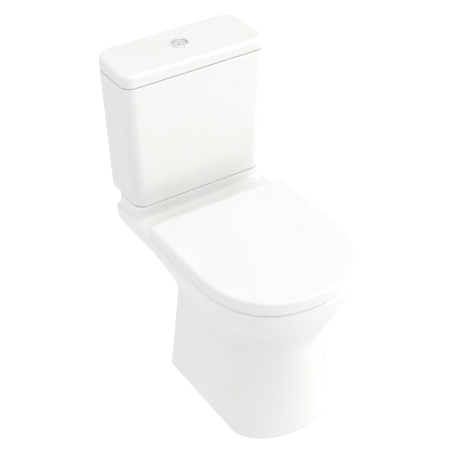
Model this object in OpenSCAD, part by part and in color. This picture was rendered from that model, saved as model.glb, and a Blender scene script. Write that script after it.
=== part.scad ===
// Close coupled toilet: a glazed pan, a cistern bolted on its rear deck, a wrap-over
// seat and lid, and the flushing and filling gear inside the cistern.
// Millimetres. Origin at floor level, midway between front and back. +Y points to
// the wall, +Z points up, and the toilet is symmetrical about X = 0.

/* [Pan] */
// Height of the rim above the floor
rim_z = 400; // [395:1:405]
// Half of the width across the rim
rim_hw = 178; // [174:1:179]
// Distance from the origin to the front of the rim
rim_front = 306; // [300:1:307]
// Half of the width of the foot
foot_hw = 134; // [130:1:138]
// Wall thickness of the glazed clay
clay = 12; // [10:1:14]
// Back edge of the deck that carries the cistern
deck_rear = 251; // [248:1:256]
// Outside diameter of the waste outlet
outlet_d = 102; // [100:1:104]
// Height of the centre of the waste outlet
outlet_z = 180; // [178:1:185]

/* [Cistern] */
// Distance from the origin to the back of the cistern
cistern_rear = 307.5; // [305:0.5:312]
// Half of the width at the lid seam
seam_hw = 180.5; // [178:0.5:182]
// Half of the width at the bottom
base_hw = 165; // [163:1:168]
// Height of the lid seam
seam_z = 738; // [734:1:742]
// Height of the top of the cistern lid
top_z = 770; // [768:1:776]
// Diameter of the flush button
button_d = 32; // [30:1:34]

/* [Seat] */
// Height of the seat hinge pins
hinge_z = 422; // [421:0.5:423]
// Distance between the two seat fixing bolts
hinge_gap = 155; // [150:1:160]
// Half of the width of the seat lid
seat_hw = 180; // [178:1:180.5]
// Distance from the origin to the front of the seat lid
seat_front = 307.5; // [304:0.5:308]

/* [Motion] */
// Travel of the flush buttons
press = 6; // [4:0.5:6]

/* [Hidden] */
$fn = 48;

white_clay = "#f3f3f1";
white_plastic = "#fafaf8";
grey_plastic = "#c9ced3";
rubber_black = "#2e2e30";
chrome_silver = "#c4c8cc";
zinc_grey = "#a8adb0";
brass_yellow = "#c2a04e";

// ---- outlines and lofts -------------------------------------------------------

function mix(a, b, t) = a + (b - a) * t;
function clamp(v, lo, hi) = min(max(v, lo), hi);

// Points on an arc
function arc(cx, cy, r, from, to, n) =
    [for (i = [0:n]) let (a = mix(from, to, i / n)) [cx + r * cos(a), cy + r * sin(a)]];

// Rounded rectangle: half-width, front y, rear y, front and rear corner radii
function box_ring(hw, y0, y1, rf, rr, n = 5) = concat(
    arc(hw - rr, y1 - rr, rr, 0, 90, n),
    arc(rr - hw, y1 - rr, rr, 90, 180, n),
    arc(rf - hw, y0 + rf, rf, 180, 270, n),
    arc(hw - rf, y0 + rf, rf, 270, 360, n));

// A number raised to a power with its sign kept
function power(v, p) = sign(v) * pow(abs(v), p);

// D outline: straight sides, rounded rear corners and a superellipse front.
// tuck draws in the sides behind the middle.
function dee_ring(hw, front, len, e, rear, r, tuck = 0, n = 18, m = 3) =
    let (near = min(60, rear - r - 4), far = min(110, rear - r - 2))
    concat(
        [[hw, near], [hw - tuck, far]],
        arc(hw - tuck - r, rear - r, r, 0, 90, m),
        arc(r + tuck - hw, rear - r, r, 90, 180, m),
        [[tuck - hw, far], [-hw, near]],
        [for (i = [0:n]) let (a = 180 * i / n)
            [-hw * power(cos(a), 2 / e), front + len - len * power(sin(a), 2 / e)]]);

// Oval outline: superellipse whose front and rear halves have their own lengths
function oval_ring(hw, front, rear, e = 2.2, n = 32) =
    let (mid = mix(front, rear, 0.56))
    [for (i = [0:n - 1]) let (a = 360 * i / n, s = power(sin(a), 2 / e))
        [hw * power(cos(a), 2 / e), s > 0 ? mid + (rear - mid) * s : mid + (mid - front) * s]];

// Closed solid through a stack of outlines that have the same number of points
module loft(rings, heights) {
    n = len(rings[0]);
    last = len(rings) - 1;
    points = [for (k = [0:last]) for (p = rings[k]) [p[0], p[1], heights[k]]];
    sides = [for (k = [0:last - 1]) for (j = [0:n - 1]) let (i = (j + 1) % n)
        [k * n + j, (k + 1) * n + j, (k + 1) * n + i, k * n + i]];
    base = [for (j = [0:n - 1]) j];
    top = [for (j = [n - 1:-1:0]) last * n + j];
    polyhedron(points, concat([base], sides, [top]));
}

// Oval with one point in the direction of each point of another outline
function oval_inside(ring, hw, front, rear, e = 2.2) =
    let (mid = mix(front, rear, 0.56))
    [for (p = ring) let (
        a = atan2(p[1] - mid, p[0]),
        half = p[1] > mid ? rear - mid : mid - front,
        r = pow(pow(abs(cos(a)) / hw, e) + pow(abs(sin(a)) / half, e), -1 / e))
        [r * cos(a), mid + r * sin(a)]];

// Closed ring between a stack of outer outlines and a stack of inner ones
module hoop(outers, inners, heights) {
    n = len(outers[0]);
    last = len(outers) - 1;
    inner = n * (last + 1);
    function level(rings) = [for (k = [0:last]) for (p = rings[k]) [p[0], p[1], heights[k]]];
    outside = [for (k = [0:last - 1]) for (j = [0:n - 1]) let (i = (j + 1) % n)
        [k * n + j, (k + 1) * n + j, (k + 1) * n + i, k * n + i]];
    inside = [for (f = outside) [inner + f[3], inner + f[2], inner + f[1], inner + f[0]]];
    base = [for (j = [0:n - 1]) let (i = (j + 1) % n) [j, i, inner + i, inner + j]];
    top = [for (f = base) [for (v = [3:-1:0]) f[v] + last * n]];
    polyhedron(concat(level(outers), level(inners)), concat(outside, inside, base, top));
}

// ---- small hardware -------------------------------------------------------------

module tube(outer, inner, from, to) {
    translate([0, 0, from])
    difference() {
        cylinder(r = outer, h = to - from);
        translate([0, 0, -1]) cylinder(r = inner, h = to - from + 2);
    }
}

module rod(r, from, to) {
    translate([0, 0, from]) cylinder(r = r, h = to - from);
}

module hex_nut(r, bore, from, to) {
    translate([0, 0, from])
    difference() {
        cylinder(r = r, h = to - from, $fn = 6);
        translate([0, 0, -1]) cylinder(r = bore, h = to - from + 2);
    }
}

// Wing nut with its round hub at the top
module wing_nut(bore, from, to) {
    hub_r = bore + 5;
    difference() {
        union() {
            rod(hub_r, from, to);
            for (side = [-1, 1])
                translate([side * (hub_r + 3) - 4, -1.75, from]) cube([8, 3.5, to - from]);
        }
        rod(bore, from - 1, to + 1);
    }
}

module at_both(x, y) {
    for (side = [-1, 1])
        translate([side * x, y, 0]) children();
}

// Cylinder along X between two distances from the middle
module bar_x(r, from, to, y, z) {
    translate([from, y, z]) rotate([0, 90, 0]) cylinder(r = r, h = to - from);
}

// ---- pan --------------------------------------------------------------------------

// The bowl starts to swell out of the pedestal here
bowl_z = 252;
deck_under = 345;
pedestal_fillet = 37;
plinth_z = 429;
plinth_front = 156;
plate = 15;
flush_y = 210;
bolt_x = 75;
hinge_y = 75;
hinge_x = hinge_gap / 2;

// How far the bowl has swollen at a height: 0 on the pedestal, 1 at the rim
function swell(z, p) = z <= bowl_z ? 0
    : pow(1 - pow((rim_z - z) / (rim_z - bowl_z), p), 1.43);

function pan_hw(z) =
    let (stem = mix(foot_hw, foot_hw - 9, min(z / 250, 1.2)))
    mix(stem, rim_hw, swell(z, 1.79));
function pan_front(z) =
    let (stem = mix(-267, -262, min(z / 250, 1.2)))
    mix(stem, -rim_front, swell(z, 2.31));
function pan_curve(z) = mix(mix(88, 160, min(z / 250, 1)), 194, swell(z, 2.31));
function pan_power(z) = mix(1.95, 2.34, swell(z, 2.31));
function pedestal_rear(z) =
    let (over = clamp(z - (deck_under - pedestal_fillet), 0, pedestal_fillet))
    mix(83, 56, z / 250) + pedestal_fillet
    - sqrt(pedestal_fillet * pedestal_fillet - over * over);

// Rounding of the lower edge of the deck's back
function deck_edge(z) =
    let (r = 10, up = clamp(z - deck_under, 0, r))
    r - sqrt(r * r - (r - up) * (r - up));

// Rounding of the lower edge of the deck's sides
function deck_tuck(z) =
    let (r = 33, up = clamp(z - deck_under, 0, r))
    max(0, pan_hw(z) - rim_hw + r - sqrt(r * r - (r - up) * (r - up)));

function pan_ring(z, rear, inset = 0, tuck = 0) =
    dee_ring(pan_hw(z) - inset, pan_front(z) + inset,
        pan_curve(z) - inset, pan_power(z), rear, 16, tuck);

stem_levels = [0, 60, 125, 190, 232, 252, 268, 284, 298, 310, 322, 332, 340, 345];
deck_levels = [345, 346.5, 349, 355, 364, 376, 388, 400];

module pan_outside() {
    loft(concat(
        [for (z = stem_levels) pan_ring(z, pedestal_rear(z))],
        [for (z = deck_levels) pan_ring(z, deck_rear - deck_edge(z), 0, deck_tuck(z))]),
        concat(stem_levels, [for (z = deck_levels) z == deck_under ? z + 0.3 : z]));
}

// Hollow of the casting: open below, and open at the back of the pedestal
module pan_hollow() {
    low = [0, 125, 190, 232, 252, 284, 310, 330];
    high = [344, 356, 370, rim_z - 14];
    loft(concat(
        [for (z = low) pan_ring(z, deck_rear + 30, clay)],
        [for (z = high) pan_ring(z, deck_rear - clay - deck_edge(z), clay, deck_tuck(z))]),
        concat([for (z = low) z == 0 ? -1 : z], high));
}

// Raised seat for the cistern, with a coved foot
module plinth() {
    heights = [rim_z - 20, rim_z - 1, rim_z, rim_z + 3, rim_z + 8, rim_z + 15, plinth_z - 1.5, plinth_z];
    cove = [10, 10, 9, 5, 2, 0.6, 0, 1.5];
    flare = [7, 12, 12.4, 8, 4.5, 2, 0, -1.5];
    loft([for (i = [0:len(heights) - 1])
        box_ring(base_hw + flare[i], plinth_front - cove[i], deck_rear - (i == 7 ? 1.5 : 0), 12, 16)],
        heights);
}

// Bowl heights, half-widths, front edge and rear edge of the glazed inside
bowl_levels = [
    [402, 112, -262, 28],
    [365, 112, -262, 28],
    [362, 132, -281, 46],
    [340, 132, -277, 45],
    [300, 115, -251, 34],
    [260, 90, -203, 12],
    [220, 65, -130, 2],
    [190, 50, -88, -2],
    [160, 44, -78, -6],
    [124, 34, -66, -12]];

module bowl_inside() {
    order = [for (i = [len(bowl_levels) - 1:-1:0]) bowl_levels[i]];
    loft([for (b = order) oval_ring(b[1], b[2], b[3])], [for (b = order) b[0]]);
}

module bowl_wall() {
    order = [for (i = [len(bowl_levels) - 1:-1:2]) bowl_levels[i]];
    rings = concat(
        [for (b = order) oval_ring(b[1] + clay, b[2] - clay, b[3] + clay)],
        [oval_ring(146, -293, 60)]);
    loft(rings, concat([for (b = order) b[0] == 124 ? 112 : b[0]], [rim_z - 8]));
}

// Waste passage seen from the side: under the dip, over the weir, and out
trap_path = concat(
    [[-50, 151]],
    arc(-20, 191, 40, -90, 0, 6),
    arc(58, 235, 38, 180, 0, 10),
    arc(132, 216, 36, 180, 270, 6),
    [[140, 180]]);
trap_half = 27;

function unit(v) = v / norm(v);
function path_normal(path, i) =
    let (t = unit(path[min(i + 1, len(path) - 1)] - path[max(i - 1, 0)])) [-t[1], t[0]];
function ribbon(path, half) = concat(
    [for (i = [0:len(path) - 1]) path[i] + half * path_normal(path, i)],
    [for (i = [len(path) - 1:-1:0]) path[i] - half * path_normal(path, i)]);

// Stands a side-view outline up and gives it a width across X
module across(width) {
    translate([-width / 2, 0, 0]) rotate([90, 0, 90]) linear_extrude(width) children();
}

module trap_body() {
    across(100)
        polygon(concat([[-56, 112], [-20, 113]], [[60, 118], [134, outlet_z - 46]],
            arc(58, 235, 76, 0, 180, 12), [[-18, 190], [-56, 190]]));
}

module trap_passage() {
    across(76) polygon(ribbon(trap_path, trap_half));
    translate([0, 100, outlet_z]) rotate([-90, 0, 0]) cylinder(r = spigot_bore, h = 40, $fn = 64);
}

// Round end of the waste passage
spigot_bore = 41;
spigot_from = 134;
spigot_to = 155;
module outlet_spigot() {
    color(white_clay)
    translate([0, spigot_from, outlet_z]) rotate([-90, 0, 0])
    difference() {
        cylinder(d = outlet_d, h = spigot_to - spigot_from, $fn = 64);
        translate([0, 0, -1]) cylinder(r = spigot_bore, h = spigot_to - spigot_from + 2, $fn = 64);
    }
}

// Channel that carries the flush from the inlet to the rim
module flush_duct() {
    translate([-42, 40, 350]) cube([84, 200, rim_z - 354]);
}
module flush_duct_bore() {
    translate([-32, 36, 362]) cube([64, 194, 25]);
    translate([0, flush_y, 386]) cylinder(r = 27, h = 60);
}

lug_hole_x = 103;
lug_hole_y = 46;
lug_z = 14;
module foot_lugs() {
    color(white_clay)
    for (side = [-1, 1])
        difference() {
            translate([side * 103.5 - 19.5, lug_hole_y - 26, 0]) cube([39, 48, lug_z]);
            translate([side * lug_hole_x, lug_hole_y, 0]) rod(4.5, -1, lug_z + 1);
        }
}

module pan() {
    color(white_clay)
    difference() {
        union() {
            difference() {
                pan_outside();
                pan_hollow();
            }
            plinth();
            bowl_wall();
            trap_body();
            flush_duct();
        }
        bowl_inside();
        trap_passage();
        translate([-152, plinth_front + 10, rim_z - 22])
            cube([106, deck_rear - plinth_front - 21, plinth_z - plate - rim_z + 22]);
        translate([46, plinth_front + 10, rim_z - 22])
            cube([106, deck_rear - plinth_front - 21, plinth_z - plate - rim_z + 22]);
        flush_duct_bore();
        at_both(hinge_x, hinge_y) rod(7, rim_z - 40, rim_z + 2);
        at_both(bolt_x, flush_y) rod(5.5, rim_z, plinth_z + 2);
    }
}

// ---- seat hinges and fixings -----------------------------------------------------

post_half = 11.5;
knuckle_r = 6;
pin_r = 3;

module hinge_posts() {
    color(chrome_silver)
    for (side = [-1, 1])
        difference() {
            union() {
                translate([side * hinge_x, hinge_y, rim_z]) cylinder(r = 15, h = 4);
                translate([side * hinge_x - post_half, hinge_y - knuckle_r, rim_z + 2])
                    cube([2 * post_half, 2 * knuckle_r, hinge_z - rim_z - 2]);
                bar_x(knuckle_r, side * hinge_x - post_half, side * hinge_x + post_half,
                    hinge_y, hinge_z);
            }
            bar_x(pin_r, side * hinge_x - 20, side * hinge_x + 20, hinge_y, hinge_z);
            translate([side * hinge_x, hinge_y, rim_z - 1]) cylinder(r = 4, h = 13);
        }
}

module hinge_pins() {
    color(zinc_grey)
    for (side = [-1, 1])
        bar_x(pin_r, side * hinge_x - 33, side * hinge_x + 33, hinge_y, hinge_z);
}

module seat_studs() {
    color(zinc_grey) at_both(hinge_x, hinge_y) rod(4, rim_z - 52, rim_z + 12);
}

module seat_washers() {
    color(rubber_black) at_both(hinge_x, hinge_y) tube(13, 4, rim_z - 18, rim_z - 14);
}

module seat_wing_nuts() {
    color(white_plastic) at_both(hinge_x, hinge_y) wing_nut(4, rim_z - 30, rim_z - 18);
}

// ---- seat ring --------------------------------------------------------------------

ring_z = rim_z + 4;
ring_thick = 18;
ring_rear = 52;
ear_w = 14;
ear_bore = pin_r + 0.1;

// Ear on a pin, on the given side of the post
module ear(from, reach, depth) {
    difference() {
        union() {
            bar_x(knuckle_r, from, from + ear_w, hinge_y, hinge_z);
            translate([from, hinge_y - reach, hinge_z - depth]) cube([ear_w, reach, depth - 0.7]);
        }
        bar_x(ear_bore, from - 1, from + ear_w + 1, hinge_y, hinge_z);
    }
}

module seat_ring() {
    heights = [ring_z, ring_z + 3, ring_z + 11, ring_z + 15.5, ring_z + ring_thick];
    insets = [2, 0, 0, 1.6, 5.5];
    bore_insets = [3, 0.8, 0.2, 1.2, 4.2];
    outers = [for (i = insets)
        dee_ring(seat_hw - 6.5 - i, 7 - seat_front + i, 188 - i, 2.34, ring_rear - i, 22)];
    color(white_plastic) {
        hoop(outers, [for (k = [0:4]) let (i = bore_insets[k])
            oval_inside(outers[k], 106 + i, -238 - i, 24 + i)], heights);
        for (x = [hinge_x - 26.5, -hinge_x + 12.5])
            ear(x, hinge_y - ring_rear + 6, 5.2);
    }
}

buffer_at = [[138, -150], [146, 5]];

module ring_buffers() {
    color(rubber_black)
    for (b = buffer_at)
        at_both(b[0], b[1]) rod(8, rim_z, ring_z);
}

// ---- seat lid ---------------------------------------------------------------------

skirt_z = rim_z + 2.4;
lid_top = 435.6;
lid_rear = 86;
lid_skin = 4;
sweep_r = 20.6;
pocket = 36.5;

module seat_lid_shell() {
    heights = [skirt_z, skirt_z + 1, lid_top - 8, lid_top - 5, lid_top - 2.4, lid_top - 0.6, lid_top];
    insets = [0.6, 0, 0.4, 1.4, 3.6, 6.6, 10];
    difference() {
        loft([for (i = insets)
            dee_ring(seat_hw - i, i - seat_front, 195 - i, 2.34, lid_rear - i, 8)], heights);
        loft([for (i = [0, 0, 1.2, 6])
            dee_ring(seat_hw - lid_skin - i, lid_skin + i - seat_front, 195 - lid_skin - i, 2.34,
                lid_rear - lid_skin - i, 5)],
            [skirt_z - 1, lid_top - 12, lid_top - 7, lid_top - 5]);
        for (side = [-1, 1])
            translate([side * hinge_x - pocket, hinge_y, skirt_z - 1])
                cube([2 * pocket, 20, hinge_z + knuckle_r + 3.4 - skirt_z]);
        difference() {
            translate([-seat_hw - 5, hinge_y, skirt_z - 1]) cube([2 * seat_hw + 10, 20, 20]);
            bar_x(sweep_r, -seat_hw - 6, seat_hw + 6, hinge_y, hinge_z, $fn = 96);
        }
    }
}

module seat_lid() {
    color(white_plastic) {
        difference() {
            union() {
                seat_lid_shell();
                for (x = [hinge_x + 12.5, -hinge_x - 26.5]) {
                    bar_x(knuckle_r, x, x + ear_w, hinge_y, hinge_z);
                    translate([x, hinge_y - 4, hinge_z]) cube([ear_w, 8, lid_top - 4.5 - hinge_z]);
                }
            }
            for (x = [hinge_x + 12.5, -hinge_x - 26.5])
                bar_x(ear_bore, x - 1, x + ear_w + 1, hinge_y, hinge_z);
        }
    }
}

module lid_buffers() {
    color(rubber_black)
    for (b = [[138, -160], [140, 20]])
        at_both(b[0], b[1]) rod(7, ring_z + ring_thick, lid_top - 5);
}

// ---- cistern ----------------------------------------------------------------------

cistern_base = plinth_z;
reveal = 2;
floor_under = 447;
floor_top = 458;
tank_wall = 9;
front_r = 26;
rear_r = 43;
inlet_x = 125;
inlet_y = 272;
wall_hole_x = 130;
wall_hole_z = 690;

function tank_hw(z) = mix(base_hw, seam_hw, clamp((z - cistern_base) / (seam_z - cistern_base), 0, 1));
function tank_front(z) = mix(156, 160, clamp((z - cistern_base) / (seam_z - cistern_base), 0, 1));
function tank_ring(z, inset) =
    box_ring(tank_hw(z) - inset, tank_front(z) + inset, cistern_rear - inset,
        max(front_r - inset, 6), max(rear_r - inset, 6));

module cistern_tank() {
    levels = [[cistern_base, 4.5], [cistern_base + reveal, 4.5], [cistern_base + reveal + 0.1, 1.5],
        [cistern_base + reveal + 1.5, 0], [seam_z - 1.5, 0], [seam_z, 1.5]];
    color(white_clay)
    difference() {
        loft([for (l = levels) tank_ring(l[0], l[1])], [for (l = levels) l[0]]);
        loft([tank_ring(floor_top, 20), tank_ring(floor_top + 12, tank_wall), tank_ring(seam_z, tank_wall)],
            [floor_top, floor_top + 12, seam_z + 1]);
        loft([tank_ring(cistern_base, 14), tank_ring(floor_under, 15)], [cistern_base - 1, floor_under]);
        translate([0, flush_y, 0]) rod(26, floor_under - 1, floor_top + 1);
        at_both(bolt_x, flush_y) rod(5, floor_under - 1, floor_top + 1);
        translate([inlet_x, inlet_y, 0]) rod(11.5, floor_under - 1, floor_top + 1);
        at_both(wall_hole_x, cistern_rear + 1)
            translate([0, 0, wall_hole_z]) rotate([90, 0, 0]) cylinder(r = 4, h = 20);
    }
}

button_y = 234;
lid_edge_r = 8;
bezel_hole_r = 18.5;

module cistern_lid() {
    base = seam_z;
    low = [[base, 5], [base + reveal, 5], [base + reveal + 0.1, 1.2], [base + reveal + 1.2, 0]];
    high = [for (a = [0:18:90]) [top_z - lid_edge_r + lid_edge_r * sin(a), lid_edge_r * (1 - cos(a))]];
    levels = concat(low, high);
    color(white_clay)
    difference() {
        union() {
            loft([for (l = levels) tank_ring(seam_z, l[1])], [for (l = levels) l[0]]);
            loft([tank_ring(seam_z, 11), tank_ring(seam_z, 11)], [base - 6, base + 4]);
        }
        loft([tank_ring(seam_z, 14), tank_ring(seam_z, 14), tank_ring(seam_z, 18)],
            [base - 7, top_z - 14, top_z - 10]);
        translate([0, button_y, 0]) rod(bezel_hole_r, top_z - 20, top_z + 1);
    }
}

// ---- flush buttons ------------------------------------------------------------------

button_r = button_d / 2;
bezel_top = top_z + 2.5;

module button_bezel() {
    color(chrome_silver)
    translate([0, button_y, 0])
    rotate_extrude($fn = 96)
        polygon(concat(
            [[button_r + 0.3, 732], [button_r + 2.1, 732], [button_r + 2.1, top_z],
                [button_r + 5, top_z]],
            arc(button_r + 3.2, top_z + 0.7, 1.8, 0, 90, 4),
            [[button_r + 1, bezel_top], [button_r + 0.3, bezel_top - 0.8]]));
}

module bezel_nut() {
    color(white_plastic)
    translate([0, button_y, 0])
    difference() {
        rod(25, top_z - 17, top_z - 10, $fn = 64);
        rod(button_r + 2.1, top_z - 18, top_z - 9, $fn = 64);
    }
}

// The small button is the part of the disc inside this circle
split_x = -24;
split_r = 20;
button_thick = press + 1;

module button_disc() {
    translate([0, 0, bezel_top - 1.3 - button_thick]) {
        cylinder(r = button_r - 0.6, h = button_thick, $fn = 96);
        cylinder(r = button_r, h = button_thick - 0.7, $fn = 96);
    }
}

module full_flush_button() {
    color(chrome_silver)
    translate([0, button_y, 0]) {
        difference() {
            button_disc();
            translate([split_x, 0, 0]) rod(split_r + 0.3, top_z - 20, top_z + 10, $fn = 96);
        }
        translate([9, 0, 0]) tube(4, 2.5, top_z - 18, bezel_top - 1.3 - button_thick + 2);
    }
}

module half_flush_button() {
    color(chrome_silver)
    translate([0, button_y, 0]) {
        intersection() {
            button_disc();
            translate([split_x, 0, 0]) rod(split_r - 0.3, top_z - 20, top_z + 10, $fn = 96);
        }
        translate([-9, 0, 0]) tube(4, 2.5, top_z - 18, bezel_top - 1.3 - button_thick + 2);
    }
}

lever_z = 600;
rod_foot = lever_z + 6.6;

module full_flush_rod() {
    color(grey_plastic) translate([9, button_y, 0]) rod(2.5, rod_foot, top_z - 6);
}

module half_flush_rod() {
    color(grey_plastic) translate([-9, button_y, 0]) rod(2.5, rod_foot, top_z - 6);
}

// ---- coupling of the cistern to the pan ----------------------------------------------

tail_r = 23.9;

module coupling_plate() {
    color(zinc_grey)
    difference() {
        translate([-95, flush_y - 30, floor_under - 2.5]) cube([190, 60, 2.5]);
        translate([0, flush_y, 0]) rod(25, floor_under - 4, floor_under + 1);
        at_both(bolt_x, flush_y) rod(4.6, floor_under - 4, floor_under + 1);
    }
}

module coupling_bolts() {
    color(zinc_grey)
    at_both(bolt_x, flush_y) {
        rod(4, 386, floor_top + 5);
        rod(9, floor_top + 3, floor_top + 9, $fn = 6);
    }
}

module bolt_seals() {
    color(rubber_black) at_both(bolt_x, flush_y) tube(13, 4, floor_top, floor_top + 3);
}

module coupling_washers() {
    color(zinc_grey)
    at_both(bolt_x, flush_y) tube(12, 4, plinth_z - plate - 2.5, plinth_z - plate);
}

module coupling_wing_nuts() {
    color(zinc_grey)
    at_both(bolt_x, flush_y) wing_nut(4, plinth_z - plate - 12.5, plinth_z - plate - 2.5);
}

module doughnut_seal() {
    color(rubber_black)
    translate([0, flush_y, 0])
    rotate_extrude($fn = 64)
        polygon([[tail_r + 0.4, plinth_z], [37, plinth_z], [38.5, plinth_z + 2.5],
            [36, plinth_z + 8], [tail_r + 0.4, plinth_z + 8]]);
}

// ---- flush valve ------------------------------------------------------------------------

flange_z = floor_top + 3;
seat_z = flange_z + 9;
cap_z = 560;

module valve_tail() {
    color(white_plastic)
    translate([0, flush_y, 0])
    difference() {
        union() {
            rod(tail_r, 406, flange_z + 2, $fn = 64);
            rod(36, flange_z, flange_z + 5, $fn = 64);
            rod(27, flange_z + 4, seat_z, $fn = 64);
        }
        rod(20, 405, seat_z + 1, $fn = 64);
    }
}

module tail_seal() {
    color(rubber_black)
    translate([0, flush_y, 0]) tube(34, tail_r, floor_top, flange_z);
}

module tail_backnut() {
    color(white_plastic)
    translate([0, flush_y, 0]) hex_nut(34, tail_r, plinth_z + 8.4, floor_under - 2.5);
}

module valve_cage() {
    base = flange_z + 5;
    color(grey_plastic)
    translate([0, flush_y, 0])
    difference() {
        tube(35, 32, base, cap_z);
        for (a = [0, 90])
            rotate([0, 0, a + 45]) translate([-40, -14, base + 6]) cube([80, 28, 66]);
    }
}

tower_r = 12;
lever_x = 14.6;
lever_w = 4;
pivot_y = 221;
pin2_r = 1.5;

module valve_cap() {
    color(grey_plastic)
    difference() {
        union() {
            translate([0, flush_y, 0]) rod(38, cap_z, cap_z + 6, $fn = 64);
            for (side = [-1, 1])
                for (x = [lever_x - 3.9, lever_x + 3.9])
                    translate([side * x - 1.2, pivot_y - 4, cap_z + 4])
                        cube([2.4, 8, lever_z + 4 - cap_z - 4]);
        }
        translate([0, flush_y, 0]) rod(tower_r + 0.5, cap_z - 1, cap_z + 60);
        bar_x(pin2_r, -30, 30, pivot_y, lever_z);
    }
}

module overflow_tube() {
    color(white_plastic)
    translate([0, flush_y, 0]) {
        difference() {
            union() {
                rod(tower_r, seat_z + 4, 640);
                rod(24, seat_z + 4, seat_z + 9);
                translate([tower_r - 2, -5, lever_z + 3])
                    cube([7, 8, 4]);
            }
            rod(tower_r - 2, seat_z, 641);
        }
    }
}

module flush_seal() {
    color(rubber_black) translate([0, flush_y, 0]) tube(26, tower_r - 2, seat_z, seat_z + 4);
}

// Rocker on the valve cap: the rod presses its paddle and its nose lifts the tower
module flush_lever() {
    difference() {
        union() {
            translate([lever_x - lever_w / 2, flush_y - 3, lever_z - 2]) cube([lever_w, 29, 4]);
            bar_x(4, lever_x - lever_w / 2, lever_x + lever_w / 2, pivot_y, lever_z);
            translate([7, pivot_y + 8, lever_z - 1]) cube([lever_x + lever_w / 2 - 7, 10, 5]);
        }
        bar_x(pin2_r + 0.1, lever_x - 5, lever_x + 5, pivot_y, lever_z);
    }
}

module full_flush_lever() {
    color(white_plastic) flush_lever();
}

module half_flush_lever() {
    color(white_plastic) mirror([1, 0, 0]) flush_lever();
}

module lever_pins() {
    color(zinc_grey)
    for (side = [-1, 1])
        bar_x(pin2_r, side * lever_x - 5.1, side * lever_x + 5.1, pivot_y, lever_z);
}

// ---- fill valve ---------------------------------------------------------------------------

thread_r = 10.45;
shank_r = thread_r - 0.35;
nut_under = floor_under - 10;
head_z = 640;
arm_z = 690;
arm_x = 117;

module fill_shank() {
    color(white_plastic)
    translate([inlet_x, inlet_y, 0])
    difference() {
        union() {
            rod(thread_r, 388, nut_under);
            rod(shank_r, nut_under - 1, floor_top + 4);
            rod(18, floor_top + 3, floor_top + 8);
            rod(11, floor_top + 7, head_z);
        }
        rod(6, 387, head_z + 1);
    }
}

module shank_seal() {
    color(rubber_black) translate([inlet_x, inlet_y, 0]) tube(15.3, shank_r, floor_top, floor_top + 3);
}

module shank_backnut() {
    color(white_plastic)
    translate([inlet_x, inlet_y, 0]) hex_nut(16, shank_r, nut_under, floor_under);
}

module fill_head() {
    color(grey_plastic)
    difference() {
        union() {
            translate([inlet_x, inlet_y, 0]) rod(19, head_z, head_z + 38);
            for (y = [inlet_y - 8.5, inlet_y + 5.5])
                translate([arm_x - 4, y, head_z + 36]) cube([8, 3, arm_z + 4 - head_z - 36]);
        }
        translate([inlet_x, inlet_y, 0]) rod(4.2, head_z + 20, head_z + 40);
        translate([inlet_x, inlet_y, 0]) rod(12, head_z - 1, head_z + 12);
        translate([arm_x, inlet_y - 12, arm_z]) rotate([-90, 0, 0]) cylinder(r = pin2_r, h = 24);
    }
}

module fill_plunger() {
    color(brass_yellow) translate([inlet_x, inlet_y, 0]) rod(4, head_z + 26, arm_z - 2.8);
}

module arm_pin() {
    color(zinc_grey)
    translate([arm_x, inlet_y - 9, arm_z]) rotate([-90, 0, 0]) cylinder(r = pin2_r, h = 18);
}

float_x = 62;

module float_arm() {
    color(white_plastic)
    difference() {
        union() {
            translate([float_x - 7, inlet_y - 4, arm_z - 2.5]) cube([inlet_x - float_x + 7, 8, 5]);
            translate([arm_x, inlet_y - 4, arm_z]) rotate([-90, 0, 0]) cylinder(r = 4.5, h = 8);
        }
        translate([arm_x, inlet_y - 6, arm_z]) rotate([-90, 0, 0]) cylinder(r = pin2_r + 0.1, h = 12);
        translate([float_x, inlet_y, 0]) rod(2.5, arm_z - 5, arm_z + 5);
    }
}

module float_screw() {
    color(grey_plastic)
    translate([float_x, inlet_y, 0]) {
        rod(2.5, 660, arm_z + 12);
        rod(5, arm_z + 12, arm_z + 15);
    }
}

module float_cup() {
    color(grey_plastic)
    translate([float_x, inlet_y, 0])
    difference() {
        union() {
            rod(20, 612, 664);
            rod(6, 662, 672);
        }
        rod(18, 611, 660);
        rod(2.5, 655, 673);
    }
}

pan();
outlet_spigot();
foot_lugs();
hinge_posts();
hinge_pins();
seat_studs();
seat_washers();
seat_wing_nuts();
seat_ring();
ring_buffers();
seat_lid();
lid_buffers();
cistern_tank();
cistern_lid();
button_bezel();
bezel_nut();
full_flush_button();
half_flush_button();
full_flush_rod();
half_flush_rod();
coupling_plate();
coupling_bolts();
bolt_seals();
coupling_washers();
coupling_wing_nuts();
doughnut_seal();
valve_tail();
tail_seal();
tail_backnut();
valve_cage();
valve_cap();
overflow_tube();
flush_seal();
full_flush_lever();
half_flush_lever();
lever_pins();
fill_shank();
shank_seal();
shank_backnut();
fill_head();
fill_plunger();
arm_pin();
float_arm();
float_screw();
float_cup();
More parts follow.
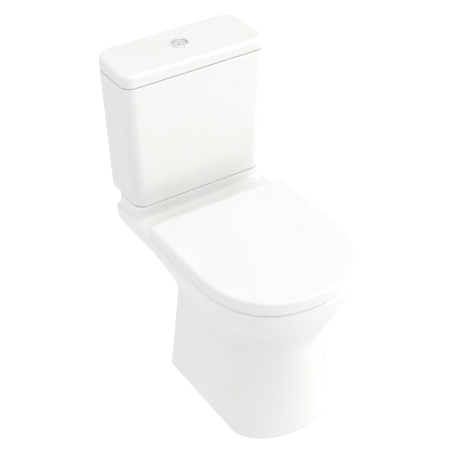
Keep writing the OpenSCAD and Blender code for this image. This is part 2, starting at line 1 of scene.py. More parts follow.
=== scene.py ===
import math
import bpy
import bmesh
import numpy as np
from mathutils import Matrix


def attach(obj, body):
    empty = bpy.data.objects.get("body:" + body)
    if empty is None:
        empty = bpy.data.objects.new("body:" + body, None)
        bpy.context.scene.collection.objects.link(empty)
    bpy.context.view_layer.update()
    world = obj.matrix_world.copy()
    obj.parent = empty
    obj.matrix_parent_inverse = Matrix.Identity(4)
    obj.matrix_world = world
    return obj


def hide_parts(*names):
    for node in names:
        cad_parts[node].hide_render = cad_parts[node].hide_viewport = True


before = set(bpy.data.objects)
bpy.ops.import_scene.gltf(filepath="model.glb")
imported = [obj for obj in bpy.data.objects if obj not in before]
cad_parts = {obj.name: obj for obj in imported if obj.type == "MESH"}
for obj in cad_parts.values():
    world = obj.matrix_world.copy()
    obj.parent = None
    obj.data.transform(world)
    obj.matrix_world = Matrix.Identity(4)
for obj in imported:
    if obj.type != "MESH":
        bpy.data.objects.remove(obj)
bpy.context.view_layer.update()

MM = 0.001

# Sizes in millimetres: floor at z = 0, wall towards +y, symmetrical about x = 0.
RIM_Z, RIM_HW, RIM_FRONT = 400.0, 178.0, 306.0
FOOT_HW, BOWL_Z, DECK_UNDER, DECK_REAR = 134.0, 252.0, 345.0, 251.0
CLAY, FILLET, CEILING, WAIST_Z, DECK_ROUND, EDGE_R = 12.0, 37.0, 386.0, 250.0, 33.0, 10.0
PLINTH_Z, PLINTH_FRONT, BASE_HW = 429.0, 156.0, 165.0
SEAM_HW, SEAM_Z, CISTERN_REAR = 180.5, 738.0, 307.5
BUTTON_Y = 234.0
LID_LOW, LID_ROOF, LID_TOP = 402.4, 430.6, 435.6
HINGE_X, HINGE_Y, HINGE_Z = 77.5, 75.0, 422.0
FLUSH_Y, BOLT_X = 210.0, 75.0
INLET_X, INLET_Y, FLOAT_X = 125.0, 272.0, 62.0
OUTLET_Z = 180.0
LUG_X, LUG_Y, LUG_TOP = 103.0, 46.0, 14.0


# ---- surfaces ------------------------------------------------------------------

def mix(a, b, t):
    return a + (b - a) * t


def smooth(t):
    """0 to 1 with a level start and end, held outside that span."""
    t = np.clip(t, 0, 1)
    return t * t * (3 - 2 * t)


def spow(v, p):
    """Power of the size of v, with the sign of v."""
    return np.sign(v) * np.abs(v) ** p


def spline(table, n):
    """Rows of a table joined by a Catmull-Rom cubic, read at n even steps."""
    table = np.asarray(table, float)
    ends = np.vstack([2 * table[0] - table[1], table, 2 * table[-1] - table[-2]])
    t = np.linspace(0, len(table) - 1, n)
    k = np.minimum(t.astype(int), len(table) - 2)
    u = (t - k)[:, None]
    p0, p1, p2, p3 = ends[k], ends[k + 1], ends[k + 2], ends[k + 3]
    return p1 + 0.5 * u * (p2 - p0 + u * (2 * p0 - 5 * p1 + 4 * p2 - p3
                                          + u * (3 * (p1 - p2) + p3 - p0)))


def stack(x, y, z):
    """One grid of points from three arrays that broadcast together."""
    return np.stack(np.broadcast_arrays(x, y, z), -1).astype(float)


def quads(rows, cols, first, around, along):
    """Corner numbers of the cells of a grid, closed around its columns or its rows if asked."""
    j = np.arange(cols if around else cols - 1)
    k = np.arange(rows if along else rows - 1)
    k, j = np.meshgrid(k, j, indexing="ij")
    k1, j1 = (k + 1) % rows, (j + 1) % cols
    return first + np.stack([k * cols + j, k * cols + j1, k1 * cols + j1, k1 * cols + j], -1).reshape(-1, 4)


def piece(name, grids, body, nodes=(), look=None, sharp=32.0, glaze=None):
    """A closed mesh welded from grids. A grid is points, closed around, closed along; shared edges
    join where their points meet, cells that fold flat are dropped, and open loops are filled."""
    points, cells, marks, first = [], [], [], 0
    for i, (grid, around, along) in enumerate(grids):
        rows, cols = grid.shape[:2]
        points.append(grid.reshape(-1, 3))
        cells.append(quads(rows, cols, first, around, along))
        marks.append(np.full(rows * cols, 1.0 if glaze is None else glaze[i]))
        first += rows * cols
    points, cells, marks = np.concatenate(points) * MM, np.concatenate(cells), np.concatenate(marks)
    _, index, back = np.unique(np.round(points / 2e-6).astype(np.int64), axis=0,
                               return_index=True, return_inverse=True)
    cells = back.reshape(-1)[cells]
    distinct = np.sort(cells, 1)
    count = 1 + (np.diff(distinct, axis=1) > 0).sum(1)
    full = cells[count == 4]
    thin = cells[count == 3]
    keep = np.stack([thin[:, i] != thin[:, (i + 1) % 4] for i in range(4)], 1)
    ok = keep.sum(1) == 3
    triangles = thin[ok][keep[ok]].reshape(-1, 3)
    mesh = bpy.data.meshes.new(name)
    mesh.from_pydata(points[index].tolist(), [], full.tolist() + triangles.tolist())
    bm = bmesh.new()
    bm.from_mesh(mesh)
    bmesh.ops.holes_fill(bm, edges=bm.edges)
    bmesh.ops.recalc_face_normals(bm, faces=bm.faces)
    bm.to_mesh(mesh)
    bm.free()
    if glaze is not None:
        layer = mesh.attributes.new("glaze", "FLOAT", "POINT")
        layer.data.foreach_set("value", marks[index].astype(np.float32))
    mesh.polygons.foreach_set("use_smooth", np.ones(len(mesh.polygons), bool))
    mesh.set_sharp_from_angle(angle=math.radians(sharp))
    obj = bpy.data.objects.new(name, mesh)
    bpy.context.scene.collection.objects.link(obj)
    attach(obj, body)
    if nodes:
        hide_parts(*nodes)
    if look is not None:
        mesh.materials.append(look)
    return obj


def pole(ring, x, y, z):
    """A row of the same point, which closes a grid at a ring's middle."""
    return np.broadcast_to(np.array([x, y, z], float), ring.shape).copy()


def capped(rows, first, last):
    """Rows closed by a point at each end."""
    return np.concatenate([pole(rows[0], *first)[None], rows, pole(rows[0], *last)[None]])


def layers(outlines, z, x=0.0):
    """Outlines set at their heights, moved sideways by x."""
    rows = np.array(outlines)
    return stack(rows[..., 0] + x, rows[..., 1], np.asarray(z, float).reshape(len(rows), -1))


def bored(outer, x, y, r, angle, z1, z0):
    """Closed grid of an outside and of a round upright hole from z1 down to z0."""
    hole = stack(x + r * np.cos(angle), y + r * np.sin(angle), np.array([z1, z0])[:, None])
    return np.concatenate([outer, hole]), True, True


def disc(ring, x, y, z, steps=10):
    """Rows from a ring to a middle point, blended evenly."""
    t = np.linspace(0, 1, steps + 1)[1:, None, None]
    return ring[None] * (1 - t) + np.array([x, y, z], float) * t


# ---- outlines ------------------------------------------------------------------

def box_outline(hw, y0, y1, rf, rr, n=14, m=10):
    """Rounded rectangle: four straight sides of m steps between corner arcs of n steps."""
    a = np.linspace(0, np.pi / 2, n + 1)
    c, s = np.cos(a), np.sin(a)
    t = np.linspace(0, 1, m + 1)[1:-1]
    x = np.concatenate([hw - rr + rr * c, (hw - rr) * (1 - 2 * t), rr - hw - rr * s,
                        0 * t - hw, rf - hw - rf * c, (hw - rf) * (2 * t - 1),
                        hw - rf + rf * s, 0 * t + hw])
    y = np.concatenate([y1 - rr + rr * s, 0 * t + y1, y1 - rr + rr * c,
                        mix(y1 - rr, y0 + rf, t), y0 + rf - rf * s, 0 * t + y0,
                        y0 + rf - rf * c, mix(y0 + rf, y1 - rr, t)])
    return np.stack([x, y], -1)


def dee_outline(hw, front, length, e, rear, r, nose=96, side=26, corner=12, back=26):
    """D shape: superellipse nose, straight sides, rounded rear corners."""
    a = np.linspace(0, np.pi, nose + 1)
    nx, ny = -hw * spow(np.cos(a), 2 / e), front + length - length * np.sin(a) ** (2 / e)
    c = np.linspace(0, np.pi / 2, corner + 1)
    t = np.linspace(0, 1, side + 1)[1:-1]
    b = np.linspace(1, -1, back + 1)[1:-1]
    x = np.concatenate([nx, 0 * t + hw, hw - r + r * np.cos(c), (hw - r) * b,
                        r - hw - r * np.sin(c), 0 * t - hw])
    y = np.concatenate([ny, mix(front + length, rear - r, t), rear - r + r * np.sin(c), 0 * b + rear,
                        rear - r + r * np.cos(c), mix(rear - r, front + length, t)])
    return np.stack([x, y], -1)


def polar_oval(angle, hw, front, rear, mid, e=2.2):
    """Superellipse read by direction from (0, mid), with its own front and rear lengths."""
    c, s = np.cos(angle), np.sin(angle)
    half = np.where(s > 0, rear - mid, mid - front)
    r = ((np.abs(c) / hw) ** e + (np.abs(s) / half) ** e) ** (-1 / e)
    return r * c, mid + r * s


def circle(n):
    a = np.linspace(0, 2 * np.pi, n, endpoint=False)
    return np.cos(a), np.sin(a)


def revolve(profile, x=0.0, y=0.0, n=48):
    """Radius and height pairs turned about the upright line through (x, y)."""
    p = np.asarray(profile, float)
    c, s = circle(n)
    return stack(x + p[:, :1] * c, y + p[:, :1] * s, p[:, 1:2])


def turn_x(profile, y, z, n=36):
    """Radius and x pairs turned about the line along X through (y, z)."""
    p = np.asarray(profile, float)
    c, s = circle(n)
    return stack(p[:, 1:2], y + p[:, :1] * c, z + p[:, :1] * s)


def arc(y, z, r, start, end, n):
    """Points of an arc between two angles in degrees."""
    a = np.radians(np.linspace(start, end, n))
    return np.stack([y + r * np.cos(a), z + r * np.sin(a)], 1)


def soft_bar(r0, r1, a, b, soft):
    """Profile of a sleeve from a to b between two radii, with rounded ends; r0 of 0 makes a rod."""
    q = np.linspace(0, np.pi / 2, 5)
    outer = np.stack([np.concatenate([r1 - soft + soft * np.sin(q), r1 - soft + soft * np.cos(q)]),
                      np.concatenate([a + soft - soft * np.cos(q), b - soft + soft * np.sin(q)])], 1)
    return np.vstack([[[r0, a]], outer, [[r0, b]]])


def thread(r, a, b, pitch, depth, steps=6):
    """Radius wave of ridges between two heights, faded out at both ends."""
    z = np.arange(a, b + 1e-6, pitch / steps)
    fade = np.clip(np.minimum(z - a, b - z) / pitch, 0, 1)
    return np.stack([r - depth * fade * (0.5 + 0.5 * np.cos(2 * np.pi * z / pitch)), z], 1)


# ---- materials -----------------------------------------------------------------

class Wire:
    """A socket of a node tree. Arithmetic on it adds Math nodes."""

    def __init__(self, look, socket):
        self.look, self.socket = look, socket

    def math(self, operation, *values):
        return self.look.node("ShaderNodeMath", {"operation": operation}, dict(enumerate(values)))

    def __add__(self, other):
        return self.math("ADD", self, other)

    def __sub__(self, other):
        return self.math("SUBTRACT", self, other)

    def __mul__(self, other):
        return self.math("MULTIPLY", self, other)

    def __radd__(self, other):
        return self.math("ADD", other, self)

    def __rsub__(self, other):
        return self.math("SUBTRACT", other, self)

    def __rmul__(self, other):
        return self.math("MULTIPLY", other, self)

    def clamp(self, low, high):
        return self.look.node("ShaderNodeMapRange", {"clamp": True},
                              {"Value": self, "From Min": low, "From Max": high}, "Result")


class Look:
    """A material under construction."""

    def __init__(self, name):
        self.material = bpy.data.materials.new(name)
        self.material.use_nodes = True
        self.tree = self.material.node_tree
        self.shader = self.tree.nodes["Principled BSDF"]
        self.place = self.node("ShaderNodeTexCoord", {}, {}, "Object")

    def node(self, kind, settings, values, out=0):
        made = self.tree.nodes.new(kind)
        for key, value in settings.items():
            setattr(made, key, value)
        for key, value in values.items():
            self.feed(made.inputs[key], value)
        return Wire(self, made.outputs[out])

    def feed(self, socket, value):
        if isinstance(value, Wire):
            self.tree.links.new(value.socket, socket)
        else:
            socket.default_value = value

    def noise(self, scale, detail=2.0, rough=0.5, stretch=(1, 1, 1)):
        place = self.node("ShaderNodeMapping", {}, {"Vector": self.place, "Scale": stretch})
        return self.node("ShaderNodeTexNoise", {},
                         {"Vector": place, "Scale": scale, "Detail": detail, "Roughness": rough})

    def blend(self, share, a, b):
        return self.node("ShaderNodeMix", {"data_type": "RGBA"}, {0: share, 6: a, 7: b}, 2)

    def bump(self, height, distance, strength=1.0):
        return self.node("ShaderNodeBump", {},
                         {"Height": height, "Distance": distance, "Strength": strength}, "Normal")

    def finish(self, **sockets):
        for key, value in sockets.items():
            self.feed(self.shader.inputs[key.replace("_", " ")], value)
        return self.material


def rgb(r, g, b):
    return (r, g, b, 1.0)


def glazed_clay(name, white):
    """Fired glaze: faint clouding, slow waves and fine orange peel; bare biscuit where unglazed."""
    look = Look(name)
    cloud = look.noise(9.0, 3.0)
    peel = look.noise(260.0, 2.0)
    waves = look.noise(22.0, 1.0)
    speck = look.noise(900.0, 1.0).clamp(0.74, 0.78)
    glaze = look.node("ShaderNodeAttribute", {"attribute_name": "glaze"}, {}, "Fac")
    grain = look.noise(1400.0, 3.0, 0.7)
    warm = tuple(c * f for c, f in zip(white, (0.985, 0.98, 0.965)))
    fired = look.blend(cloud.clamp(0.35, 0.65), rgb(*white), rgb(*warm))
    fired = look.blend(speck * 0.12, fired, rgb(0.62, 0.60, 0.56))
    biscuit = look.blend(grain, rgb(0.78, 0.75, 0.69), rgb(0.70, 0.66, 0.60))
    rough = 0.17 + 0.05 * cloud + (1 - glaze) * 0.58
    height = peel * 0.25 + waves + (1 - glaze) * grain * 0.6
    return look.finish(Base_Color=look.blend(glaze, biscuit, fired), Roughness=rough,
                       Normal=look.bump(height, 0.00035, 0.35), Coat_Weight=glaze * 0.6,
                       Coat_Roughness=0.14, IOR=1.52)


def moulded_plastic(name, tone, shade, rough, peel_scale=420.0, depth=0.00006):
    """Moulded plastic: slight flow clouding, a fine skin texture and handling marks in the gloss."""
    look = Look(name)
    flow = look.noise(14.0, 3.0, 0.5, (1, 0.4, 1))
    skin = look.noise(peel_scale, 2.0)
    rub = look.noise(55.0, 4.0, 0.65, (1, 3, 1)).clamp(0.52, 0.75)
    colour = look.blend(flow.clamp(0.35, 0.65), rgb(*tone), rgb(*shade))
    return look.finish(Base_Color=colour, Roughness=rough + 0.08 * rub + 0.03 * flow,
                       Normal=look.bump(skin, depth, 0.5), IOR=1.5)


def bright_chrome(name):
    """Plated chrome: near mirror, with soft cloudy film and hairline wipe marks."""
    look = Look(name)
    film = look.noise(70.0, 4.0, 0.6)
    hair = look.noise(380.0, 3.0, 0.7, (1, 12, 1)).clamp(0.55, 0.8)
    colour = look.blend(film, rgb(0.88, 0.89, 0.90), rgb(0.80, 0.815, 0.83))
    return look.finish(Base_Color=colour, Metallic=1.0, Roughness=0.06 + 0.06 * film + 0.07 * hair,
                       Normal=look.bump(look.noise(45.0, 1.0), 0.0001, 0.25))


def plated_zinc(name):
    """Zinc plate: grey spangle, a trace of yellow passivation and a dull, uneven shine."""
    look = Look(name)
    spangle = look.node("ShaderNodeTexVoronoi", {}, {"Vector": look.place, "Scale": 420.0}, "Color")
    tint = look.noise(60.0, 3.0)
    stain = look.noise(150.0, 5.0, 0.7).clamp(0.58, 0.72)
    grey = look.blend(tint, rgb(0.56, 0.57, 0.57), rgb(0.62, 0.60, 0.52))
    colour = look.blend(stain * 0.6, look.blend(0.12, grey, spangle), rgb(0.34, 0.33, 0.30))
    return look.finish(Base_Color=colour, Metallic=1.0, Roughness=0.30 + 0.14 * tint + 0.2 * stain,
                       Normal=look.bump(look.noise(700.0, 2.0), 0.00008, 0.5))


def black_rubber(name):
    """Rubber: dark grey with bloom, matt grain and small pits."""
    look = Look(name)
    bloom = look.noise(40.0, 4.0, 0.6)
    grain = look.noise(900.0, 3.0, 0.7)
    pits = look.noise(330.0, 1.0).clamp(0.66, 0.72)
    colour = look.blend(bloom.clamp(0.4, 0.7), rgb(0.022, 0.022, 0.024), rgb(0.055, 0.055, 0.056))
    return look.finish(Base_Color=colour, Roughness=0.62 + 0.2 * bloom,
                       Normal=look.bump(grain - pits, 0.00018, 0.6))


def clear_buffer(name):
    """Soft translucent buffer: milky, slightly yellow, with a satin skin."""
    look = Look(name)
    milk = look.noise(120.0, 3.0)
    colour = look.blend(milk, rgb(0.74, 0.75, 0.72), rgb(0.64, 0.65, 0.60))
    return look.finish(Base_Color=colour, Roughness=0.34 + 0.15 * milk,
                       Normal=look.bump(look.noise(600.0, 2.0), 0.0001, 0.4))


def turned_brass(name):
    """Turned brass: fine lathe rings, warm tarnish in patches."""
    look = Look(name)
    rings = look.noise(900.0, 2.0, 0.6, (0.02, 0.02, 1))
    tarnish = look.noise(120.0, 4.0, 0.6).clamp(0.45, 0.7)
    colour = look.blend(tarnish, rgb(0.66, 0.50, 0.22), rgb(0.38, 0.26, 0.11))
    return look.finish(Base_Color=colour, Metallic=1.0, Roughness=0.22 + 0.2 * tarnish,
                       Normal=look.bump(rings, 0.00008, 0.5))


pan_glaze = glazed_clay("pan_glaze", (0.872, 0.872, 0.865))
# the cistern has the pan's glaze painted darker: its lower white is painted shade
cistern_glaze_painted_shade = glazed_clay("cistern_glaze_painted_shade", (0.833, 0.833, 0.826))
seat_gloss = moulded_plastic("seat_gloss", (0.865, 0.865, 0.86), (0.85, 0.85, 0.842), 0.13)
button_chrome = bright_chrome("button_chrome")
hinge_chrome = bright_chrome("hinge_chrome")
fixing_zinc = plated_zinc("fixing_zinc")
seal_rubber = black_rubber("seal_rubber")
buffer_clear = clear_buffer("buffer_clear")
valve_white = moulded_plastic("valve_white", (0.80, 0.80, 0.775), (0.76, 0.76, 0.73), 0.34, 600.0, 0.0001)
valve_grey = moulded_plastic("valve_grey", (0.40, 0.42, 0.44), (0.35, 0.37, 0.39), 0.38, 600.0, 0.0001)
cap_blue = moulded_plastic("cap_blue", (0.075, 0.20, 0.46), (0.06, 0.165, 0.39), 0.36, 600.0, 0.0001)
plunger_brass = turned_brass("plunger_brass")


# ---- pan -----------------------------------------------------------------------

def swell(z, p):
    """0 on the pedestal and 1 at the rim, along a flattened quarter curve whose lower end is
    eased in: there each value is the mean of its neighbours up to 24 mm above and below."""
    def raw(level):
        t = np.clip((RIM_Z - level) / (RIM_Z - BOWL_Z), 0, 1)
        return (1 - t ** p) ** 1.43

    z = np.asarray(z, float)
    spread = np.linspace(-1, 1, 25)
    weight = np.cos(spread * np.pi / 2) ** 2
    eased = sum(w * raw(z + 24 * d) for w, d in zip(weight, spread)) / weight.sum()
    return mix(raw(z), eased, smooth((335 - z) / 50))


def flare(z, foot, waist, rim, power, reach=1.2):
    """Straight from the foot past the waist, then out to the rim along the swell."""
    return mix(mix(foot, waist, np.minimum(z / WAIST_Z, reach)), rim, swell(z, power))


def pan_hw(z):
    return flare(z, FOOT_HW, FOOT_HW - 9, RIM_HW, 1.79)


def pan_front(z):
    return flare(z, -267.0, -262.0, -RIM_FRONT, 2.31)


def pan_curve(z):
    return flare(z, 88.0, 160.0, 194.0, 2.31, 1.0)


def pan_power(z):
    return mix(1.95, 2.34, swell(z, 2.31))


def pedestal_rear(z):
    """Back edge of the pedestal's side walls, with a quarter-round up to the deck."""
    over = np.clip(z - (DECK_UNDER - FILLET), 0, FILLET)
    return mix(83.0, 56.0, z / WAIST_Z) + FILLET - np.sqrt(FILLET ** 2 - over ** 2)


def deck_tuck(z):
    """How far the deck's sides round in towards its lower edge."""
    left = DECK_ROUND - np.clip(z - DECK_UNDER, 0, DECK_ROUND)
    return np.maximum(0, pan_hw(z) - (RIM_HW - DECK_ROUND + np.sqrt(DECK_ROUND ** 2 - left ** 2)))


NOSE, SIDE = 112, 26


def pan_nose(z, inset):
    """From the left rear edge round the front to the right rear edge, at each height."""
    z, inset = np.broadcast_arrays(np.asarray(z, float), np.asarray(inset, float))
    level, inset = z[:, None], inset[:, None]
    hw, front = pan_hw(level) - inset, pan_front(level) + inset
    length, e = pan_curve(level) - inset, pan_power(level)
    a = np.linspace(0, np.pi, NOSE + 1)
    x = -hw * spow(np.cos(a), 2 / e)
    y = front + length - length * np.abs(np.sin(a)) ** (2 / e)
    t = np.linspace(0, 1, SIDE + 1)[:-1]
    side = mix(pedestal_rear(level), front + length, t)
    return stack(np.concatenate([0 * side - hw, x, 0 * side + hw], 1),
                 np.concatenate([side, y, side[:, ::-1]], 1), level)


def pan_back(z, inset, rear_inset, corner=16.0):
    """From the right rear edge round the deck's back to the left one, at each height."""
    z, inset, back = np.broadcast_arrays(np.asarray(z, float), np.asarray(inset, float),
                                         np.asarray(rear_inset, float))
    level, inset, back = z[:, None], inset[:, None], back[:, None]
    r = np.maximum(corner - inset, 4.0)
    rear = DECK_REAR - back
    t = np.linspace(0, 1, 25)
    y = mix(pedestal_rear(level), rear - r, t)
    hw = pan_hw(level) - inset - deck_tuck(level) * smooth((y - 75) / 55)
    corner_a = np.linspace(0, np.pi / 2, 11)[1:]
    cx, cy = hw[:, -1:] - r + r * np.cos(corner_a), rear - r + r * np.sin(corner_a)
    s = np.linspace(1, -1, 33)[1:-1]
    x = np.concatenate([hw, cx, (hw[:, -1:] - r) * s, -cx[:, ::-1], -hw[:, ::-1]], 1)
    y = np.concatenate([y, cy, 0 * s + rear, cy[:, ::-1], y[:, ::-1]], 1)
    return stack(x, y, level)


def pan_ring(z, inset, back):
    """Closed ring at each height: the deck's back, then the nose."""
    return np.concatenate([pan_back(z, inset, back)[:, :-1], pan_nose(z, inset)[:, :-1]], 1)


def deck_lower_edge(z):
    """How far the deck's back rounds in towards its lower edge."""
    left = EDGE_R - np.clip(z - DECK_UNDER, 0, EDGE_R)
    return EDGE_R - np.sqrt(EDGE_R ** 2 - left ** 2)


# height, half width, front and rear of the bowl's inner face
BOWL_MID = -110.0
BOWL_IN = [[399.9, 124, -274, 40], [398.6, 117, -267, 33], [394, 113, -263, 29], [378, 112.5, -262.5, 28.5],
           [368, 114, -264, 30], [361, 123, -272, 38], [352, 131, -279, 45], [335, 131, -276, 45],
           [300, 116, -251, 34], [260, 91, -203, 12], [220, 66, -140, 0], [190, 51, -112, -14],
           [160, 43, -92, -22], [140, 37, -82, -26], [128, 27, -72, -38], [124, 12, -60, -50]]


def bowl_rows(table, n, angle):
    """Ovals through a table of height, half width, front and rear, read at the same directions."""
    z, hw, front, rear = spline(table, n).T[:, :, None]
    return stack(*polar_oval(angle, hw, front, rear, mix(front, rear, 0.56)), z)


def pan_body():
    """Glazed pan: foot, flared pedestal, deck, rim and bowl. Rows of one outline run from the
    sump up the bowl, over the rim and down the outside; the inside face follows at one wall."""
    low = np.concatenate([np.linspace(0, 216, 34), np.linspace(222, 345, 62)])
    foot_in = 2.5 * (1 - np.sin(np.arccos(np.clip(1 - low / 2.5, 0, 1))))
    outside = pan_nose(low, foot_in)
    inside = pan_nose(low, CLAY)
    t = np.linspace(0, 1, 5)[:, None, None]
    foot = mix(outside[0], inside[0], t)
    bulge = np.linspace(0, np.pi, 9)[None, :, None]

    def edge(k):
        a, b = outside[:, k][:, None], inside[:, k][:, None]
        centre, half = (a + b) / 2, (a - b) / 2
        return centre + half * np.cos(bulge) + np.array([0, 5.0, 0]) * np.sin(bulge) * (
            np.minimum(1, (DECK_UNDER - low) / 20)[:, None, None])

    high = np.concatenate([np.linspace(345, 356, 10), np.linspace(358, 391, 14)])
    q = np.linspace(0, np.pi / 2, 9)
    rise = np.concatenate([high, 394 + 6 * np.sin(q)])
    rim_in = np.concatenate([0 * high, 6 * (1 - np.cos(q))])
    upper = pan_ring(rise, rim_in, rim_in + deck_lower_edge(rise))
    inner_high = np.linspace(345, CEILING, 16)
    shell = pan_ring(inner_high, CLAY, CLAY + deck_lower_edge(inner_high))
    skirt = mix(pan_back([DECK_UNDER], 0, EDGE_R)[0], pan_back([DECK_UNDER], CLAY, CLAY + EDGE_R)[0], t)
    ring = upper[-1]
    angle = np.arctan2(ring[:, 1] - BOWL_MID, ring[:, 0])
    wall = bowl_rows(BOWL_IN, 74, angle)
    # mouth of the waste passage: the sump's rear wall is set back over an oval
    mouth = smooth((1.12 - np.hypot(wall[..., 0] / 34, (wall[..., 2] - 150) / 27)) / 0.3)
    wall[..., 1] += 42 * mouth * (wall[..., 1] > -50)
    s = np.linspace(0, 1, 12)[:, None, None]
    table = mix(ring, wall[0], s)
    hull = bowl_rows([[CEILING, 141, -285, 57], [362, 142, -288, 57], [340, 143, -288, 57],
                      [300, 127, -263, 46], [260, 103, -215, 24], [220, 78, -152, 12],
                      [190, 63, -124, -2], [160, 55, -104, -10], [135, 49, -94, -14],
                      [116, 38, -84, -26], [112, 16, -64, -46]], 48, angle)
    ceiling = mix(shell[-1], hull[0], np.linspace(0, 1, 8)[:, None, None])
    grids = [(outside, False, False), (inside, False, False), (foot, False, False),
             (edge(0), False, False), (edge(-1), False, False), (upper, True, False),
             (shell, True, False), (skirt, False, False), (table, True, False),
             (np.concatenate([wall, disc(wall[-1], 0, -55, 123.6, 3)]), True, False),
             (ceiling, True, False),
             (np.concatenate([hull, disc(hull[-1], 0, -55, 111.6, 3)]), True, False)]
    glaze = [1, 0.35, 0, 1, 1, 1, 0.35, 0.6, 1, 1, 0.35, 0.35]
    return piece("pan_body", grids, "base", ["pan"], pan_glaze, 40, glaze)


def pan_plinth():
    """Raised seat of the cistern, coved out to the deck at its foot."""
    table = spline([[380, 1, 9], [394, 3.5, 12], [399.4, 5.4, 14], [400.5, 4.6, 11], [402.2, 3.6, 7.5],
                    [405, 2.6, 4.4], [409, 1.6, 2.0], [415, 0.7, 0.6], [421, 0.2, 0.1], [426, 0, 0]], 40)
    q = np.linspace(0, np.pi / 2, 7)[1:]
    rows = [box_outline(BASE_HW + g, PLINTH_FRONT - f, DECK_REAR - 0.6, 14 + f * 0.8, 15)
            for g, f in table[:, 1:]]
    rows += [box_outline(BASE_HW - 2.5 * (1 - math.cos(a)), PLINTH_FRONT + 2.5 * (1 - math.cos(a)),
                         DECK_REAR - 0.6 - 2.5 * (1 - math.cos(a)), 14, 15) for a in q]
    z = np.concatenate([table[:, 0], 426.5 + 2.5 * np.sin(q)])
    grid = layers(rows, z)
    grid = np.concatenate([pole(grid[0], 0, 200, 380)[None], grid, disc(grid[-1], 0, 200, PLINTH_Z)])
    return piece("pan_plinth", [(grid, True, False)], "base", (), pan_glaze, 40, [1])


def pan_trapway():
    """Waste passage: an oval tube carried along a path of arcs, ending in a round spigot."""
    path = np.vstack([arc(-20, 191, 40, -90, 0, 12), arc(58, 235, 38, 180, 0, 22)[1:],
                      arc(132, 216, 36, 180, 262, 12)[1:]])
    tangent = np.gradient(path, axis=0)
    tangent /= np.linalg.norm(tangent, axis=1)[:, None]
    cs, sn = circle(56)
    keep = path[:, 0] < 98
    path, tangent = path[keep], tangent[keep]
    grow = np.clip((path[:, 0] - 70) / 30, 0, 1)[:, None]
    high = mix(32.0, 46.0, grow)
    y = path[:, :1] + high * sn * -tangent[:, 1:]
    z = path[:, 1:] + high * sn * tangent[:, :1]
    # the front is flattened against the back of the bowl
    bowl = np.array(BOWL_IN)[::-1]
    y = np.maximum(y, np.interp(z, bowl[:, 0], bowl[:, 3]) + 8)
    tube = stack(49.0 * cs, y, z)
    # from the tube's end: spigot with a bead, a lip, and the bore back inside
    spigot = np.array([[49, 104], [51, 107], [51, 114], [49.6, 115.5], [49.6, 119], [51, 120.5],
                       [51, 128], [49.6, 129.5], [49.6, 133], [51, 134.5], [51, 153], [50.2, 154.6],
                       [48.4, 155], [43, 155], [41.6, 154.4], [41, 152.6], [41, 122], [38, 112],
                       [20, 104], [0, 102]])
    end = stack(spigot[:, :1] * cs, spigot[:, 1:2], OUTLET_Z + spigot[:, :1] * sn)
    grid = np.concatenate([pole(tube[0], 0, path[0, 0], path[0, 1])[None], tube, end])
    return piece("pan_trapway", [(grid, True, False)], "base", ["outlet_spigot"],
                 pan_glaze, 40, [0.35])


def foot_lug(side):
    """Rounded block with an upright hole: rows run round the section from the outside to the hole."""
    cx, cy, hw, hh, soft = side * 103.5, 44.0, 19.5, 24.0, 2.0
    hx = side * LUG_X
    q = np.linspace(0, np.pi / 2, 4)
    inset = np.concatenate([soft * (1 - np.sin(q)), soft * (1 - np.cos(q))])
    z = np.concatenate([soft * (1 - np.cos(q)), LUG_TOP - soft + soft * np.sin(q)])
    outer = layers([box_outline(hw - i, cy - hh + i, cy + hh - i, 4.0, 4.0, 14, 8) for i in inset], z, cx)
    a = np.arctan2(outer[0, :, 1] - LUG_Y, outer[0, :, 0] - hx)
    return bored(outer, hx, LUG_Y, 4.5, a, LUG_TOP, 0.0)


def foot_lugs():
    """Two lugs inside the open back of the pedestal, each with a hole for a floor screw."""
    return piece("foot_lug_pair", [foot_lug(-1), foot_lug(1)], "base", ["foot_lugs"],
                 pan_glaze, 40, [0.35, 0.35])


pan_body()
pan_plinth()
pan_trapway()
foot_lugs()


# ---- seat ----------------------------------------------------------------------

